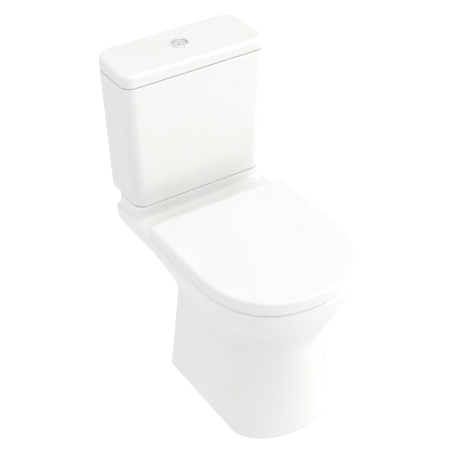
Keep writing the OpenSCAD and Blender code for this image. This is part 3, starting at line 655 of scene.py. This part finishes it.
def seat_lid_shell():
    """Thick lid that wraps over the ring: a crowned top, a rolled edge and a skirt, hollow below,
    with its rear wall notched round the two hinge posts."""
    rear = 86.0

    def outline(inset):
        return dee_outline(180.0 - inset, -307.5 + inset, 195.0 - inset, 2.34, rear - inset,
                           max(8.0 - inset * 0.5, 2.5), 120, 40, 10, 150)

    base = outline(0.0)
    x, y = base[:, 0], base[:, 1]
    swept = HINGE_Z - np.sqrt(np.clip(20.6 ** 2 - np.maximum(y - HINGE_Y, 0) ** 2, 0, None))
    bottom = np.where(y > HINGE_Y, np.maximum(LID_LOW, swept), LID_LOW)
    notch = np.clip((37.5 - np.abs(np.abs(x) - HINGE_X)) / 1.6, 0, 1) * (y > 78)
    bottom = mix(bottom, 430.4, notch)
    q = np.linspace(0, np.pi / 2, 12)
    edge_r, edge_h = 6.5, 6.0
    inset_out = np.concatenate([[0.9, 0.25, 0.0], np.zeros(9), edge_r * (1 - np.cos(q))])
    start = np.concatenate([[0.0, 0.012, 0.04], np.linspace(0.08, 1, 9)])
    crown = 1.1
    edge_top = LID_TOP - crown
    side_top = np.maximum(edge_top - edge_h, bottom + 0.2)
    z = np.vstack([mix(bottom, side_top, start[:, None]),
                   mix(side_top, edge_top, np.sin(q)[:, None])])
    outer = layers([outline(i) for i in inset_out], z)
    t = np.linspace(0, 1, 40)[1:, None]
    cx, cy = 0.0, -105.0
    top = stack(mix(outer[-1][:, 0], cx, t), mix(outer[-1][:, 1], cy, t),
                edge_top + crown * (1 - (1 - t) ** 2))
    inset_in = np.array([3.2, 4.0, 4.0, 4.0, 4.6, 6.5, 11.0])
    share = np.array([0.0, 0.05, 0.5, 0.8, 0.9, 0.97, 1.0])
    inner = layers([outline(i) for i in inset_in], mix(bottom[None], LID_ROOF, share[:, None]))
    roof = stack(mix(inner[-1][:, 0], cx, t), mix(inner[-1][:, 1], cy, t), LID_ROOF)
    rim = mix(outer[0], inner[0], np.linspace(0, 1, 4)[:, None, None])
    return [(np.concatenate([outer, top]), True, False), (np.concatenate([inner, roof]), True, False),
            (rim, True, False)]


def knuckle(x0, x1, bore, tongue):
    """Hinge ear: a teardrop round the pin, carried along X, with its bore and softened ends.
    tongue is the direction and reach of the drop's tip in (y, z)."""
    a = np.linspace(0, 2 * np.pi, 48, endpoint=False)
    reach = np.hypot(*tongue)
    heading = math.atan2(tongue[1], tongue[0])
    toward = np.clip(np.cos(a - heading), 0, 1) ** 3
    r = 6.0 + (reach - 6.0) * toward
    width = np.array([x0, x0 + 0.25, x0 + 0.8, x1 - 0.8, x1 - 0.25, x1])
    trim = np.array([0.8, 0.25, 0, 0, 0.25, 0.8])[:, None]
    outer = stack(width[:, None], HINGE_Y + (r - trim) * np.cos(a), HINGE_Z + (r - trim) * np.sin(a))
    hole = stack(np.array([x1, x0])[:, None], HINGE_Y + bore * np.cos(a), HINGE_Z + bore * np.sin(a))
    return np.concatenate([outer, hole]), True, True


def seat_lid():
    """Lid shell with a hinge ear outside each post."""
    grids = seat_lid_shell()
    for x0 in (90.0, -104.0):
        grids.append(knuckle(x0, x0 + 14, 3.1, (0.0, 9.4)))
    return piece("seat_lid_shell", grids, "seat_lid", ["seat_lid"], seat_gloss, 35)


def seat_ring():
    """Open ring with a soft section: dished to the hole, rounded at the outside."""
    table = spline([[404, 5.0, 7.0], [404.4, 2.6, 3.4], [406, 0.9, 1.2], [409, 0.1, 0.4], [413.5, 0.0, 0.3],
                    [417, 0.8, 1.6], [419.6, 2.6, 4.4], [421.3, 6.0, 9.0], [421.9, 11.0, 16.0]], 40)
    outer = layers([dee_outline(173.5 - i, -300.5 + i, 188.0 - i, 2.34, 52.0 - i, 22.0, 120, 30, 12, 40)
                    for i in table[:, 1]], table[:, 0])
    mid = -90.0
    angle = np.arctan2(outer[0, :, 1] - mid, outer[0, :, 0])
    grow = table[::-1, 2:3]
    x, y = polar_oval(angle, 106 + grow, -238 - grow, 24 + grow, mid)
    inner = stack(x, y, table[::-1, :1])
    t = np.linspace(0, 1, 8)[1:-1, None, None]
    across = mix(outer[-1], inner[0], t) + np.array([0, 0, 0.1]) * np.sin(np.pi * t)
    grids = [(np.concatenate([outer, across, inner]), True, True)]
    for x0 in (51.0, -65.0):
        grids.append(knuckle(x0, x0 + 14, 3.1, (-26.0, -3.6)))
    return piece("seat_ring_body", grids, "seat_ring", ["seat_ring"], seat_gloss, 35)


def round_buffers(name, node, places, r, z0, z1, body):
    """Round buffers with a soft lower edge."""
    grids = [(revolve(soft_bar(0, r, z0, z1, 1.2), side * x, y, 40), True, False)
             for x, y in places for side in (-1, 1)]
    return piece(name, grids, body, [node], buffer_clear, 40)


def hinge_posts():
    """Chrome posts: a domed foot, a waisted neck and a knuckle that holds the pin."""
    grids = []
    q = np.linspace(0, np.pi / 2, 7)
    foot = np.vstack([[[4.0, 400.0]], [[14.6, 400.0], [15.0, 400.5], [15.0, 401.8]],
                      np.stack([13.6 + 1.4 * np.cos(q), 402.2 + 1.8 * np.sin(q)], 1), [[4.0, 404.4]]])
    for side in (-1, 1):
        cx = side * HINGE_X
        grids.append((revolve(foot, cx, HINGE_Y, 56), True, True))
        z = np.linspace(403.0, HINGE_Z, 14)
        waist = 0.9 * np.sin(np.pi * np.clip((z - 403) / 16, 0, 1))
        neck = layers([box_outline(11.5 - w, HINGE_Y - 6 + w * 0.6, HINGE_Y + 6 - w * 0.6, 2.6, 2.6, 6, 4)
                       for w in waist], z, cx)
        grids.append((capped(neck, (cx, HINGE_Y, 403), (cx, HINGE_Y, HINGE_Z)), True, False))
        grids.append((turn_x(soft_bar(3.0, 6.0, cx - 11.5, cx + 11.5, 0.9), HINGE_Y, HINGE_Z), True, True))
    return piece("hinge_post_pair", grids, "base", ["hinge_posts"], hinge_chrome, 35)


def hinge_pins():
    """Steel pins through the posts and ears."""
    grids = [(turn_x(soft_bar(0, 3.0, side * HINGE_X - 33, side * HINGE_X + 33, 0.8), HINGE_Y, HINGE_Z),
              True, False) for side in (-1, 1)]
    return piece("hinge_pin_pair", grids, "base", ["hinge_pins"], fixing_zinc, 35)


def seat_studs():
    """Threaded studs that hold the posts to the deck."""
    rod = np.vstack([[[0, 348]], [[3.2, 348], [3.9, 348.8]], thread(4.0, 349, 404, 1.25, 0.45),
                     [[4.0, 411.6], [3.6, 412], [0, 412]]])
    grids = [(revolve(rod, side * HINGE_X, HINGE_Y, 32), True, False) for side in (-1, 1)]
    return piece("seat_stud_pair", grids, "base", ["seat_studs"], fixing_zinc, 35)


def wing_nut_grids(cx, cy, z0, z1, bore):
    """Ribbed hub, tapered from its bearing face, with a pair of flat wings."""
    hub = bore + 5
    a = np.linspace(0, 2 * np.pi, 96, endpoint=False)
    z = np.array([z0, z0 + 0.4, z0 + 1, z1 - 1, z1 - 0.4, z1])
    r = np.array([hub - 1.0, hub - 0.3, hub - 0.1, hub - 0.1, hub - 0.3, hub - 0.8])
    rib = 1 - 0.03 * (0.5 + 0.5 * np.cos(12 * a))
    body = stack(cx + r[:, None] * rib * np.cos(a), cy + r[:, None] * rib * np.sin(a), z[:, None])
    grids = [bored(body, cx, cy, bore, a, z1, z0)]
    for side in (-1, 1):
        s = np.linspace(0, 1, 12)
        x = side * (hub - 1 + 8 * s)
        low = z0 + 0.3 + 3.0 * (1 - s) ** 2 * 0.4
        high = z1 - 0.3 - 2.5 * s ** 2
        end = np.sqrt(np.clip(1 - np.maximum(0, (s - 0.75) / 0.25) ** 2, 0.02, 1))
        b = np.linspace(0, 2 * np.pi, 20, endpoint=False)
        mid, half = (low + high) / 2, (high - low) / 2 * end
        wing = stack(cx + x[:, None] + 0 * b, cy + 1.75 * spow(np.cos(b), 0.6) * end[:, None],
                     mid[:, None] + half[:, None] * spow(np.sin(b), 0.6))
        grids.append((capped(wing, (cx + x[0], cy, mid[0]), (cx + x[-1], cy, mid[-1])), True, False))
    return grids


def wing_nuts(name, node, x, y, z0, z1, look):
    """Pair of wing nuts, left and right."""
    grids = [g for side in (-1, 1) for g in wing_nut_grids(side * x, y, z0, z1, 4.0)]
    return piece(name, grids, "base", [node], look, 35)


def rings(name, node, places, r0, r1, z0, z1, soft, look, slot, body="base"):
    """Washers and flat seals: sleeves with softened edges."""
    grids = [(revolve(soft_bar(r0, r1, z0, z1, soft), x, y, 64), True, True) for x, y in places]
    return piece(name, grids, body, [node], look, 35)


seat_lid()
seat_ring()
round_buffers("ring_buffer_set", "ring_buffers", [(138, -150), (146, 5)], 8, 400, 404.3, "seat_ring")
round_buffers("lid_buffer_set", "lid_buffers", [(138, -160), (140, 20)], 7, 422, 431, "seat_lid")
hinge_posts()
hinge_pins()
seat_studs()
hinge_pair = [(-HINGE_X, HINGE_Y), (HINGE_X, HINGE_Y)]
bolt_pair = [(-BOLT_X, FLUSH_Y), (BOLT_X, FLUSH_Y)]
rings("seat_washer_pair", "seat_washers", hinge_pair, 4, 13, 382, 386, 1.0, seal_rubber, "black_rubber")
wing_nuts("seat_wing_nut_pair", "seat_wing_nuts", HINGE_X, HINGE_Y, 370, 382, valve_white)


# ---- cistern -------------------------------------------------------------------

def tank_hw(z):
    return mix(BASE_HW, SEAM_HW, np.clip((z - PLINTH_Z) / (SEAM_Z - PLINTH_Z), 0, 1))


def tank_front(z):
    return mix(156.0, 160.0, np.clip((z - PLINTH_Z) / (SEAM_Z - PLINTH_Z), 0, 1))


def cistern_rows(levels, tapered):
    """Rounded boxes at pairs of height and inset: the tapered tank's, or the upright lid's."""
    rows = []
    for z, i in levels:
        at, shrink = (z, 0.6) if tapered else (SEAM_Z, 0.7)
        rows.append(box_outline(tank_hw(at) - i, tank_front(at) + i, CISTERN_REAR - i,
                                max(26 - i * shrink, 6), max(43 - i, 6), 16, 24))
    return layers(rows, np.array(levels)[:, 0])


def quarter(z0, z1, i0, i1, n):
    """Height and inset pairs along a quarter round that leaves the first point upright."""
    q = np.linspace(0, np.pi / 2, n)
    return np.stack([mix(z0, z1, np.sin(q)), mix(i0, i1, 1 - np.cos(q))], 1)


def straight(z0, z1, i, n):
    """Height and inset pairs at one inset."""
    return np.stack([np.linspace(z0, z1, n), np.full(n, i)], 1)


def cistern_tank():
    """Tapered clay box, open at the top, with a shadow gap and a rounded edge at its foot."""
    q = np.linspace(0, np.pi / 2, 6)
    foot = np.stack([434 - 2.9 * np.cos(q), 2.6 - 2.6 * np.sin(q)], 1)
    outer = np.vstack([[[429, 14.0], [429, 5.2], [429.4, 4.6], [431, 4.5]], foot,
                       straight(436, 736, 0, 81), [[737.2, 0.3], [737.8, 1.0], [738, 1.8]]])
    inner = np.vstack([[[738, 7.6], [737.6, 8.6], [736, 9]], straight(734, 474, 9, 66),
                       [[470, 9.6], [464, 12.5], [460, 17], [458.3, 23]]])
    under = cistern_rows([[429, 14], [431, 14], [445, 14], [446.6, 15], [447, 17]], True)
    rows_out, rows_in = cistern_rows(outer, True), cistern_rows(inner, True)
    centre = [0, 232]
    grids = [(np.concatenate([rows_in, disc(rows_in[-1], *centre, 458)]), True, False),
             (np.concatenate([under, disc(under[-1], *centre, 447)]), True, False),
             (mix(rows_out[-1], rows_in[0], np.linspace(0, 1, 3)[:, None, None]), True, False),
             (rows_out, True, False)]
    return piece("cistern_tank_shell", grids, "base", ["cistern_tank"], cistern_glaze_painted_shade, 35,
                 [0.35, 0, 1, 1])


def cistern_lid():
    """Clay lid: shadow gap, rounded top edge, faint crown, hollow below, and a round hole for the
    button."""
    side = np.vstack([[[732, 15.0], [732, 11.8], [732.6, 11.2], [737.6, 11], [738, 10.6], [738, 5.4],
                       [738.4, 5], [740, 5], [740.1, 2.2], [740.5, 1.1], [741.2, 0.4], [742.4, 0]],
                      straight(744, 760, 0, 6), quarter(761.4, 769.4, 0, 8.4, 12)])
    outer = cistern_rows(side, False)
    hollow = cistern_rows([[732, 15], [733, 14.2], [744, 14], [752, 14.2], [755, 16], [756, 20]], False)
    edge = outer[-1]
    a = np.arctan2(edge[:, 1] - BUTTON_Y, edge[:, 0])
    hole = stack(18.5 * np.cos(a), BUTTON_Y + 18.5 * np.sin(a), np.array([769.9, 756.0])[:, None])
    t = np.linspace(0, 1, 30)[:, None, None]
    top = mix(edge, hole[0], t)
    top[..., 2] = mix(769.4, 769.9, 1 - (1 - t[..., 0]) ** 2)
    ceiling = mix(hollow[-1], hole[1], np.linspace(0, 1, 12)[:, None, None])
    grids = [(outer, True, False), (top, True, False), (hole, True, False), (ceiling, True, False),
             (hollow, True, False)]
    return piece("cistern_lid_cap", grids, "cistern_lid", ["cistern_lid"], cistern_glaze_painted_shade, 35,
                 [1, 1, 1, 0.35, 0.35])


def button_bezel():
    """Chrome ring with a rolled flange and a threaded sleeve below it."""
    q = np.linspace(0, np.pi / 2, 10)
    flange = np.stack([19.2 + 1.8 * np.cos(q), 770.3 + 2.2 * np.sin(q)], 1)
    inner = np.stack([16.3 + 1.2 * (1 - np.sin(q)), 772.5 - 1.4 * (1 - np.cos(q))], 1)
    profile = np.vstack([[[16.3, 732], [17.6, 732]], thread(18.1, 732.6, 752, 2.0, 0.5),
                         [[18.1, 769.9], [20.8, 769.9], [21, 770.0]], flange, inner, [[16.3, 770]]])
    return piece("button_bezel_ring", [(revolve(profile, 0, BUTTON_Y, 128), True, True)], "cistern_lid",
                 ["button_bezel"], button_chrome, 35)


SPLIT_X, SPLIT_R, BUTTON_R = -24.0, 20.0, 15.5


def button_half(side):
    """One part of the round button. The outline is where the disc meets the split circle, and
    the rows draw it in over a rounded rim to a dished face."""
    gap = 0.3
    r2 = SPLIT_R + gap * side
    # meeting point of the disc with the split circle
    x = (BUTTON_R ** 2 + SPLIT_X ** 2 - r2 ** 2) / (2 * SPLIT_X)
    h = math.sqrt(BUTTON_R ** 2 - x * x)
    big = math.atan2(h, x)
    small = math.atan2(h, x - SPLIT_X)
    if side > 0:
        a = np.linspace(-big, big, 90)
        b = np.linspace(small, -small, 40)[1:-1]
    else:
        a = np.linspace(big, 2 * math.pi - big, 50)
        b = np.linspace(-small, small, 40)[1:-1]
    ring = np.concatenate([np.stack([BUTTON_R * np.cos(a), BUTTON_R * np.sin(a)], 1),
                           np.stack([SPLIT_X + r2 * np.cos(b), r2 * np.sin(b)], 1)])
    middle = ring.mean(0)
    q = np.linspace(0, np.pi / 2, 6)
    z = np.concatenate([[764.2, 764.2, 770.0], 770.1 + 1.1 * np.sin(q)])
    keep = np.concatenate([[0.9, 1.0, 1.0], 1 - 0.10 * (1 - np.cos(q))])[:, None, None]
    rows = middle + (ring - middle) * keep
    t = np.linspace(0, 1, 12)[1:, None]
    face = middle + (rows[-1] - middle) * (1 - t)[:, :, None]
    dish = 771.2 - 0.55 * (1 - (1 - t) ** 2)
    outer = stack(rows[..., 0], BUTTON_Y + rows[..., 1], z[:, None])
    top = stack(face[..., 0], BUTTON_Y + face[..., 1], dish)
    low = pole(outer[0], middle[0], BUTTON_Y + middle[1], 764.2)[None]
    grids = [(np.concatenate([low, outer, top]), True, False)]
    post_x = 9.0 * side
    grids.append((revolve(soft_bar(2.5, 4.0, 752, 766, 0.5), post_x, BUTTON_Y, 40), True, True))
    name = "full_flush_button" if side > 0 else "half_flush_button"
    return piece(name + "_cap", grids, "full_button" if side > 0 else "half_button", [name],
                 button_chrome, 35)


cistern_tank()
cistern_lid()
button_bezel()
button_half(1)
button_half(-1)


# ---- fixings and valves inside the cistern --------------------------------------

def hex_rows(r, z0, z1, soft=0.8):
    """Six-sided rows with chamfered corners, each side of eight steps."""
    a = np.linspace(0, 2 * np.pi, 48, endpoint=False)
    flat = r * math.cos(math.pi / 6) / np.cos((a + math.pi / 6) % (math.pi / 3) - math.pi / 6)
    z = np.array([z0, z0 + soft, z1 - soft, z1])
    top = np.minimum(flat, r - 0.6)
    rad = np.stack([top - soft, flat, flat, top - soft])
    return rad, z, a


def hex_nut(name, node, x, y, r, bore, z0, z1, look):
    """Six-sided nut with a round bore."""
    rad, z, a = hex_rows(r, z0, z1)
    outer = stack(x + rad * np.cos(a), y + rad * np.sin(a), z[:, None])
    return piece(name, [bored(outer, x, y, bore, a, z1, z0)], "base", [node], look, 30)


def coupling_bolts():
    """Threaded bolts with six-sided heads inside the cistern."""
    grids = []
    for x, y in bolt_pair:
        rod = np.vstack([[[0, 386]], [[3.2, 386], [3.9, 386.8]], thread(4.0, 387, 446, 1.25, 0.45),
                         [[4.0, 462], [0, 462]]])
        grids.append((revolve(rod, x, y, 32), True, False))
        rad, z, a = hex_rows(9.0, 461, 467)
        head = stack(x + rad * np.cos(a), y + rad * np.sin(a), z[:, None])
        grids.append((capped(head, (x, y, 461), (x, y, 467)), True, False))
    return piece("coupling_bolt_pair", grids, "base", ["coupling_bolts"], fixing_zinc, 30)


def doughnut_seal():
    """Thick foam ring squeezed between the cistern and the pan."""
    q = np.linspace(-np.pi / 2, np.pi / 2, 15)
    bulge = np.stack([35 + 3.5 * np.cos(q), 433 + 4 * np.sin(q)], 1)
    profile = np.vstack([[[24.3, 429]], bulge, [[24.3, 437]]])
    return piece("doughnut_seal_ring", [(revolve(profile, 0, FLUSH_Y, 96), True, True)], "base",
                 ["doughnut_seal"], seal_rubber, 40)


def valve_tail():
    """Flush valve's threaded tail with its flange and raised seat."""
    profile = np.vstack([[[20, 406], [22.6, 406]], thread(23.9, 407, 457, 3.0, 0.9),
                         [[23.9, 460.5], [35.4, 461], [36, 461.6], [36, 465.4], [35.4, 466], [27, 466.2],
                          [27, 469], [25.5, 470], [21, 470], [20, 469.4]]])
    return piece("valve_tail_body", [(revolve(profile, 0, FLUSH_Y, 96), True, True)], "base",
                 ["valve_tail"], valve_white, 35)


def overflow_tube():
    """Tall overflow tube with a rolled mouth, a collar over the seal and a lifting lug."""
    profile = [[10, 474], [23.4, 474], [24, 474.6], [24, 478.4], [23.4, 479], [12.6, 479.4], [12, 480.4],
               [12, 560], [12, 610], [12, 638.6], [11.7, 639.6], [11, 640], [10.3, 639.6], [10, 638.6]]
    box = box_outline(3.5, -5 + FLUSH_Y, 3 + FLUSH_Y, 0.8, 0.8, 4, 3)
    lug = stack(box[:, 0] + 13.5, box[:, 1], np.array([603.0, 607.0])[:, None])
    lug = capped(lug, (13.5, FLUSH_Y - 1, 603), (13.5, FLUSH_Y - 1, 607))
    return piece("overflow_tower", [(revolve(profile, 0, FLUSH_Y, 72), True, True), (lug, True, False)],
                 "flush_tower", ["overflow_tube"], valve_white, 35)


def fill_shank():
    """Fill valve's threaded tail, its flange and the riser above."""
    profile = np.vstack([[[6, 388], [9.6, 388]], thread(10.45, 389, 456, 1.8, 0.55),
                         [[10.45, 460.5], [17.5, 461], [18, 461.6], [18, 465.4], [17.4, 466], [11.6, 466.4],
                          [11, 467.5], [11, 520], [11, 580], [11, 640], [6, 640]]])
    return piece("fill_shank_body", [(revolve(profile, INLET_X, INLET_Y, 64), True, True)], "base",
                 ["fill_shank"], valve_white, 35)


def float_cup():
    """Inverted cup with ribs moulded round it and a neck for the screw."""
    z = np.linspace(613, 662, 60)
    rib = 20 - 0.35 * (0.5 + 0.5 * np.cos(2 * np.pi * (z - 613) / 9.8))
    profile = np.vstack([[[18, 612], [19.4, 612]], np.stack([rib, z], 1),
                         [[19.2, 663.6], [17.6, 664], [7, 664], [6, 665], [6, 671.2], [5.4, 672], [2.5, 672],
                          [2.5, 660], [17, 660], [18, 659]]])
    return piece("float_cup_body", [(revolve(profile, FLOAT_X, INLET_Y, 72), True, True)], "float_arm",
                 ["float_cup"], cap_blue, 35)


def float_screw():
    """Adjusting screw through the float and its arm."""
    rod = np.vstack([[[0, 660], [2.0, 660]], thread(2.5, 660.6, 700, 1.6, 0.4),
                     [[2.5, 702], [4.6, 702], [5, 702.5], [5, 704.5], [4.5, 705], [0, 705]]])
    return piece("float_screw_rod", [(revolve(rod, FLOAT_X, INLET_Y, 32), True, False)], "float_arm",
                 ["float_screw"], valve_grey, 35)


coupling_bolts()
rings("bolt_seal_pair", "bolt_seals", bolt_pair, 4, 13, 458, 461, 1.0, seal_rubber, "black_rubber")
rings("coupling_washer_pair", "coupling_washers", bolt_pair, 4, 12, 411.5, 414, 0.4, fixing_zinc,
      "zinc_steel")
wing_nuts("coupling_wing_nut_pair", "coupling_wing_nuts", BOLT_X, FLUSH_Y, 401.5, 411.5, fixing_zinc)
doughnut_seal()
valve_tail()
rings("tail_seal_ring", "tail_seal", [(0, FLUSH_Y)], 23.9, 34, 458, 461, 0.9, seal_rubber, "black_rubber")
hex_nut("tail_backnut_body", "tail_backnut", 0, FLUSH_Y, 34, 23.9, 437.4, 444.5, valve_white)
rings("flush_seal_ring", "flush_seal", [(0, FLUSH_Y)], 10, 26, 470, 474, 0.8, seal_rubber, "black_rubber",
      "flush_tower")
overflow_tube()
fill_shank()
rings("shank_seal_ring", "shank_seal", [(INLET_X, INLET_Y)], 10.45, 17, 458, 461, 0.9, seal_rubber,
      "black_rubber")
hex_nut("shank_backnut_body", "shank_backnut", INLET_X, INLET_Y, 16, 10.45, 437, 447, valve_white)
float_cup()
float_screw()

kept = ((valve_white, ["bezel_nut", "full_flush_lever", "half_flush_lever", "float_arm"]),
        (valve_grey, ["full_flush_rod", "half_flush_rod", "valve_cage", "fill_head"]),
        (fixing_zinc, ["coupling_plate", "lever_pins", "arm_pin"]),
        (cap_blue, ["valve_cap"]), (plunger_brass, ["fill_plunger"]))
for material, names in kept:
    for name in names:
        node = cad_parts[name]
        node.data.materials.clear()
        node.data.materials.append(material)


# ---- stage ---------------------------------------------------------------------

def pale_floor_paint():
    """Faintly clouded paint that also gives a little light."""
    look = Look("floor_pale")
    tone = look.blend(look.noise(1.5, 2.0), rgb(0.93, 0.93, 0.93), rgb(0.9207, 0.9207, 0.9207))
    return look.finish(Base_Color=tone, Roughness=0.9, Emission_Color=rgb(1, 1, 1),
                       Emission_Strength=0.35)


def stage_floor():
    """Wide pale floor."""
    t = np.linspace(-9, 9, 3)
    x, y = np.meshgrid(t, t)
    points = stack(x, y, 0 * x).reshape(-1, 3)
    mesh = bpy.data.meshes.new("floor")
    mesh.from_pydata(points.tolist(), [], quads(3, 3, 0, False, False).tolist())
    obj = bpy.data.objects.new("floor", mesh)
    mesh.materials.append(pale_floor_paint())
    bpy.context.scene.collection.objects.link(obj)
    obj.visible_diffuse = obj.visible_glossy = False


def soft_light(name, place, aim, size, power):
    """Square area light that faces a point."""
    data = bpy.data.lights.new(name, "AREA")
    data.shape, data.size, data.energy = "SQUARE", size, power
    obj = bpy.data.objects.new(name, data)
    bpy.context.scene.collection.objects.link(obj)
    direction = np.array(aim, float) - np.array(place, float)
    yaw = math.atan2(direction[1], direction[0]) - math.pi / 2
    down = math.atan2(-direction[2], math.hypot(direction[0], direction[1]))
    obj.location = place
    obj.rotation_euler = (math.pi / 2 - down, 0, yaw)
    return obj


stage_floor()
world = bpy.data.worlds.new("studio")
world.use_nodes = True
world.node_tree.nodes["Background"].inputs["Color"].default_value = rgb(1.0, 1.0, 1.0)
world.node_tree.nodes["Background"].inputs["Strength"].default_value = 0.885
bpy.context.scene.world = world
soft_light("key", (3.4, -1.1, 1.5), (0.0, 0.0, 0.3), 2.4, 30)
soft_light("low_fill", (2.4, -2.4, 0.1), (0.0, -0.2, 0.2), 1.6, 38)
soft_light("overhead", (0.1, -0.5, 3.2), (0.0, 0.0, 0.3), 2.4, 17)
bpy.context.scene.view_settings.view_transform = "Standard"

camera_data = bpy.data.cameras.new("camera")
camera_data.lens, camera_data.sensor_width = 100.56, 36.0
camera = bpy.data.objects.new("camera", camera_data)
camera.location = (-1.2563, -1.8991, 2.1032)
camera.rotation_euler = (math.radians(90 - 36.58), 0, math.radians(-32.89))
bpy.context.scene.collection.objects.link(camera)
bpy.context.scene.camera = camera
